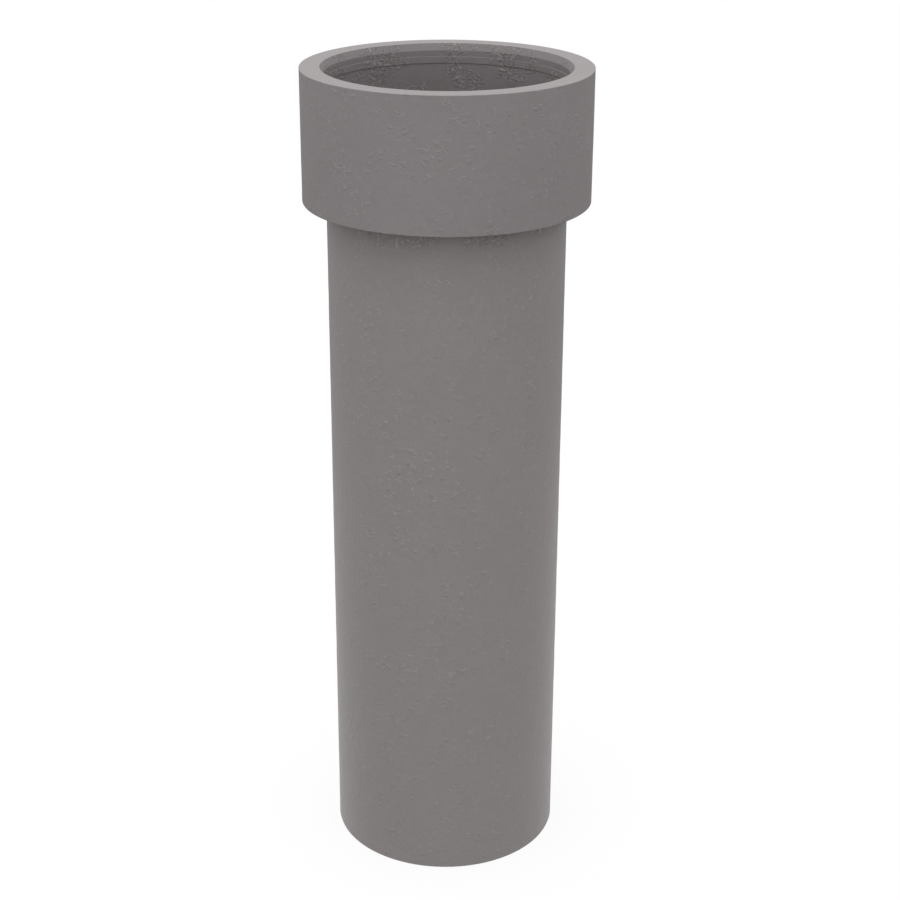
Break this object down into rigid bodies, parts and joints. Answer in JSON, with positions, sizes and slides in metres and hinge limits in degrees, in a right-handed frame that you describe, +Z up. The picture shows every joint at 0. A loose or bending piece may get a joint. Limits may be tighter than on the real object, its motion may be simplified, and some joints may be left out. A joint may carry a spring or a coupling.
{
  "type": "insulated ventilation duct",
  "caption": "Straight round insulated air duct of moulded foam, standing on end, with a push-fit coupling sleeve seated on its top end.",
  "frame": {"origin": "centre of the pipe's foot ring, on the floor", "axes": "+Z up the duct's axis, from the pipe's foot to the sleeve's open socket"},
  "size_m": [0.186, 0.186, 0.545],
  "materials": {
    "pipe_foam": "matt moulded bead foam, warm mid grey",
    "sleeve_foam": "matt moulded bead foam, warm mid grey"
  },
  "bodies": {
    "root": {"duct_pipe": "pipe_foam", "coupling_sleeve": "sleeve_foam"}
  },
  "joints": []
}
